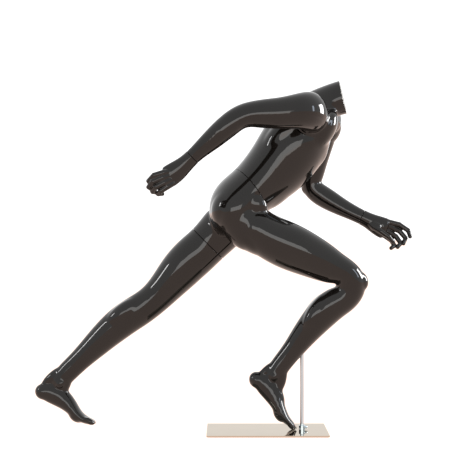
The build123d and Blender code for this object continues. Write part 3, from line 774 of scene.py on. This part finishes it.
def satin_cap_enamel():
    """Sprayed satin enamel on the flat neck cap: warm grey, a soft sheen and fine grit."""
    material = new_finish("satin_enamel_cap")
    place = add_node(material, "ShaderNodeTexCoord")
    mottle = add_node(material, "ShaderNodeTexNoise",
                      sockets={"Scale": every(25), "Detail": 4.0},
                      links={"Vector": (place, "Object")})
    grit = add_node(material, "ShaderNodeTexNoise",
                    sockets={"Scale": every(1.5), "Detail": 2.0},
                    links={"Vector": (place, "Object")})
    tint = add_node(material, "ShaderNodeValToRGB",
                    stops=over_noise(linear("#6E6A62"), linear("#837E75")),
                    links={"Fac": (mottle, "Fac")})
    rough = add_node(material, "ShaderNodeValToRGB", stops=over_noise(grey(0.24), grey(0.38)),
                     links={"Fac": (mottle, "Fac")})
    bump = add_node(material, "ShaderNodeBump",
                    sockets={"Strength": 0.2, "Distance": 0.1 * MM},
                    links={"Height": (grit, "Fac")})
    return close_finish(
        material, links={"Base Color": (tint, "Color"), "Roughness": (rough, "Color"),
                         "Normal": (bump, "Normal")})


def felt_backing():
    """Thin grey felt under the plate: loose fibres, with no gloss.

    The fibres are drawn 0.8 mm apart, coarser than they are, so that they show.
    """
    material = new_finish("grey_wool_felt")
    place = add_node(material, "ShaderNodeTexCoord")
    fibres = add_node(material, "ShaderNodeTexNoise",
                      sockets={"Scale": every(0.8), "Detail": 6.0},
                      links={"Vector": (place, "Object")})
    tint = add_node(material, "ShaderNodeValToRGB",
                    stops=over_noise(linear("#3B3B3C"), linear("#5A5A5B")),
                    links={"Fac": (fibres, "Fac")})
    bump = add_node(material, "ShaderNodeBump",
                    sockets={"Strength": 0.6, "Distance": 0.3 * MM},
                    links={"Height": (fibres, "Fac")})
    return close_finish(
        material, sockets={"Roughness": 0.95},
        links={"Base Color": (tint, "Color"), "Normal": (bump, "Normal")})


def seamless_paper():
    """White background paper under even warm light: it glows by itself, with no gloss."""
    return close_finish(new_finish("white_seamless_paper"), sockets={
        "Base Color": grey(0.06),
        "Roughness": 0.9,
        "Specular IOR Level": 0.0,
        "Emission Color": (1.0, 0.77, 0.67, 1.0),
        "Emission Strength": 1.48,
    })


def wear(names, material):
    """Gives CAD pieces a finish."""
    for name in names:
        slots = frame["nodes"][name].data.materials
        slots.clear()
        slots.append(material)


def lacquer_on(piece):
    """The figure's one lacquer, made at its first use."""
    looks = bpy.context.scene.mannequin_finish
    material = bpy.data.materials.get("polished_black_lacquer")
    if material is None:
        material = polished_black_lacquer(looks.lacquer, looks.gloss)
    piece.data.materials.clear()
    piece.data.materials.append(material)


# ------------------------------------------------------------ operators

class MANNEQUIN_OT_torso(bpy.types.Operator):
    """Builds the torso shell from the waist to the neck"""
    bl_idname = "mannequin.torso"
    bl_label = "Torso"

    def execute(self, context):
        sizes = context.scene.mannequin_figure
        parts = [limb(TRUNK, WIDTH), limb(RIGHT_YOKE, UP), limb(LEFT_YOKE, FRONT)]
        parts += masses(TORSO_MASSES, RIGHT_SHOULDER_MASSES, LEFT_SHOULDER_MASSES, WAIST_MASSES)
        piece = sculpt("lacquered_torso", parts, sizes.trunk_grain, TORSO_PASSES)
        saw(piece, WAIST, -1, True, BOARD_DEPTH)
        saw(piece, NECK, 1, True, CAP_DEPTH)
        saw(piece, RIGHT_SHOULDER, 1, False, BOARD_DEPTH)
        saw(piece, LEFT_SHOULDER, 1, False, BOARD_DEPTH)
        finish_piece(piece, "torso", ["torso_shell"])
        return {"FINISHED"}


class MANNEQUIN_OT_lower_body(bpy.types.Operator):
    """Builds the pelvis with the right leg and foot"""
    bl_idname = "mannequin.lower_body"
    bl_label = "Lower body"

    def execute(self, context):
        sizes = context.scene.mannequin_figure
        parts = [limb(rings, WIDTH) for rings in (PELVIS, LEFT_STUB, RIGHT_LEG, RIGHT_FOOT)]
        parts += masses(PELVIS_MASSES, WAIST_MASSES, RIGHT_LEG_MASSES, RIGHT_TOES)
        piece = sculpt("lacquered_lower_body", parts, sizes.limb_grain, LOWER_BODY_PASSES)
        saw(piece, WAIST, 1, False, BOARD_DEPTH)
        saw(piece, THIGH, 1, False, BOARD_DEPTH)
        finish_piece(piece, "lower_body", ["lower_body_shell"])
        return {"FINISHED"}


class MANNEQUIN_OT_left_leg(bpy.types.Operator):
    """Builds the left leg and foot"""
    bl_idname = "mannequin.left_leg"
    bl_label = "Left leg"

    def execute(self, context):
        sizes = context.scene.mannequin_figure
        parts = [limb(LEFT_LEG, WIDTH), limb(LEFT_FOOT, WIDTH)]
        parts += masses(LEFT_LEG_MASSES, LEFT_TOES)
        piece = sculpt("lacquered_left_leg", parts, sizes.limb_grain, LEFT_LEG_PASSES)
        saw(piece, THIGH, -1, True, BOARD_DEPTH)
        finish_piece(piece, "left_leg", ["left_leg_shell"])
        return {"FINISHED"}


class MANNEQUIN_OT_arms(bpy.types.Operator):
    """Builds both arms from shoulder to wrist"""
    bl_idname = "mannequin.arms"
    bl_label = "Arms"

    def execute(self, context):
        sizes = context.scene.mannequin_figure
        for side, rings, across, arm_masses, root_masses, shoulder, wrist in (
            ("right", RIGHT_ARM, UP, RIGHT_ARM_MASSES, RIGHT_SHOULDER_MASSES,
             RIGHT_SHOULDER, RIGHT_WRIST),
            ("left", LEFT_ARM, FRONT, LEFT_ARM_MASSES, LEFT_SHOULDER_MASSES,
             LEFT_SHOULDER, LEFT_WRIST),
        ):
            parts = [limb(rings, across)] + masses(arm_masses, root_masses)
            piece = sculpt("lacquered_" + side + "_arm", parts, sizes.limb_grain, ARM_PASSES)
            saw(piece, shoulder, -1, True, BOARD_DEPTH)
            saw(piece, wrist, 1, True, BOARD_DEPTH)
            finish_piece(piece, side + "_arm", [side + "_arm_shell"])
        return {"FINISHED"}


class MANNEQUIN_OT_hands(bpy.types.Operator):
    """Builds both hands"""
    bl_idname = "mannequin.hands"
    bl_label = "Hands"

    def execute(self, context):
        sizes = context.scene.mannequin_figure
        for side, rings, fingers, palm_masses, wrist in (
            ("right", RIGHT_PALM, RIGHT_FINGERS, RIGHT_HAND_MASSES, RIGHT_WRIST),
            ("left", LEFT_PALM, LEFT_FINGERS, LEFT_HAND_MASSES, LEFT_WRIST),
        ):
            parts = [limb(rings, UP)] + masses(palm_masses)
            for knuckles in fingers[:-1]:
                parts += finger(knuckles, FINGER_RADII)
            parts += finger(fingers[-1], THUMB_RADII)
            piece = sculpt("lacquered_" + side + "_hand", parts, sizes.hand_grain, HAND_PASSES)
            saw(piece, wrist, -1, True, 0)
            finish_piece(piece, side + "_hand_body", [side + "_hand"])
        return {"FINISHED"}


class MANNEQUIN_OT_stand(bpy.types.Operator):
    """Finishes the base plate, collar, locking screw and rod"""
    bl_idname = "mannequin.stand"
    bl_label = "Stand"

    def execute(self, context):
        looks = context.scene.mannequin_finish
        # Sheet steel polished to a mirror: it gives the eye the figure's own reflection.
        plate = bright_steel(
            "mirror_polished_steel", looks.steel, roughness=0.05, grain=1.2,
            stretch=(1, 12, 12), depth=0.05, edge="#E7E2DC")
        # Chromium on a drawn tube: cooler, with drawn lines along its length.
        rod = bright_steel(
            "chromed_steel_tube", looks.chrome, roughness=0.04, grain=0.8,
            stretch=(8, 8, 0.6), depth=0.04)
        # Chromium on a turned ring: slightly duller, with turning lines round it.
        collar = bright_steel(
            "turned_chromed_collar", looks.chrome, roughness=0.09, grain=0.5,
            stretch=(1, 1, 14), depth=0.12)
        wear(["base_plate"], plate)
        wear(["support_rod"], rod)
        wear(["rod_collar", "collar_locking_screw", "collar_fixing_screw"], collar)
        wear(["base_backing_sheet"], felt_backing())
        return {"FINISHED"}


class MANNEQUIN_OT_joint_fittings(bpy.types.Operator):
    """Finishes the boards, discs, bushes, pegs and screws inside the joints"""
    bl_idname = "mannequin.joint_fittings"
    bl_label = "Joint fittings"

    def execute(self, context):
        # Zinc-plated pressed steel: greyer and duller than the chrome.
        zinc = bright_steel(
            "zinc_plated_steel", "#A6A8A8", roughness=0.3, grain=1.0,
            stretch=(1, 1, 1), depth=0.3)
        steel_ends = ("_disc", "_screws", "_bush", "_peg", "_sleeve")
        wear([name for name in frame["nodes"] if name.endswith(steel_ends)], zinc)
        wear([name for name in frame["nodes"] if name.endswith(("_board", "_bracket"))],
             pressed_wood_board())
        wear(["neck_cap"], satin_cap_enamel())
        return {"FINISHED"}


class MANNEQUIN_OT_studio(bpy.types.Operator):
    """Sets the floor, the surround, the lights and the camera"""
    bl_idname = "mannequin.studio"
    bl_label = "Studio"

    def execute(self, context):
        studio = context.scene.mannequin_studio
        deselect_all()
        bpy.ops.mesh.primitive_plane_add(
            size=2 * studio.floor_half, location=(0, 0, -FLOOR_DROP))
        floor = context.object
        floor.name = "studio_floor"
        bpy.ops.object.transform_apply(location=True, rotation=True, scale=True)
        floor.data.materials.append(seamless_paper())
        context.scene.view_settings.view_transform = "Standard"
        world = context.scene.world or bpy.data.worlds.new("studio")
        context.scene.world = world
        world.use_nodes = True
        back = world.node_tree.nodes.get("Background")
        back.inputs["Color"].default_value = grey(1.0)
        back.inputs["Strength"].default_value = studio.surround
        for name, place, size, power, colour in SOFT_BOXES:
            bpy.ops.object.light_add(type="AREA", location=place)
            light = context.object
            light.name = name
            light.data.shape = "RECTANGLE"
            light.data.size, light.data.size_y = size
            light.data.energy = power
            light.data.color = colour
            towards = AIM - Vector(place)
            light.rotation_euler = towards.to_track_quat("-Z", "Y").to_euler()
            light.visible_camera = False
        bpy.ops.object.camera_add(location=studio.camera_place, rotation=(math.pi / 2, 0, 0))
        camera = context.object
        camera.data.lens = studio.lens
        camera.data.sensor_width = SENSOR_WIDTH
        camera.data.clip_end = FAR_CLIP
        context.scene.camera = camera
        return {"FINISHED"}


PIECE_OPERATORS = (
    MANNEQUIN_OT_torso, MANNEQUIN_OT_lower_body, MANNEQUIN_OT_left_leg, MANNEQUIN_OT_arms,
    MANNEQUIN_OT_hands, MANNEQUIN_OT_stand, MANNEQUIN_OT_joint_fittings, MANNEQUIN_OT_studio,
)


class MANNEQUIN_PT_panel(bpy.types.Panel):
    """Lists the mannequin's pieces in the order they are built"""
    bl_idname = "MANNEQUIN_PT_panel"
    bl_label = "Mannequin"
    bl_space_type = "VIEW_3D"
    bl_region_type = "UI"
    bl_category = "Mannequin"

    def draw(self, context):
        for operator in PIECE_OPERATORS:
            self.layout.operator(operator.bl_idname)


SETTINGS = (
    ("mannequin_figure", FigureSettings),
    ("mannequin_finish", FinishSettings),
    ("mannequin_studio", StudioSettings),
)


def register():
    for name, group in SETTINGS:
        bpy.utils.register_class(group)
        setattr(bpy.types.Scene, name, bpy.props.PointerProperty(type=group))
    for operator in PIECE_OPERATORS:
        bpy.utils.register_class(operator)
    bpy.utils.register_class(MANNEQUIN_PT_panel)


def unregister():
    bpy.utils.unregister_class(MANNEQUIN_PT_panel)
    for operator in reversed(PIECE_OPERATORS):
        bpy.utils.unregister_class(operator)
    for name, group in reversed(SETTINGS):
        delattr(bpy.types.Scene, name)
        bpy.utils.unregister_class(group)


def main():
    register()
    bpy.ops.mannequin.torso()
    bpy.ops.mannequin.lower_body()
    bpy.ops.mannequin.left_leg()
    bpy.ops.mannequin.arms()
    bpy.ops.mannequin.hands()
    bpy.ops.mannequin.stand()
    bpy.ops.mannequin.joint_fittings()
    bpy.ops.mannequin.studio()


if __name__ == "__main__":
    main()
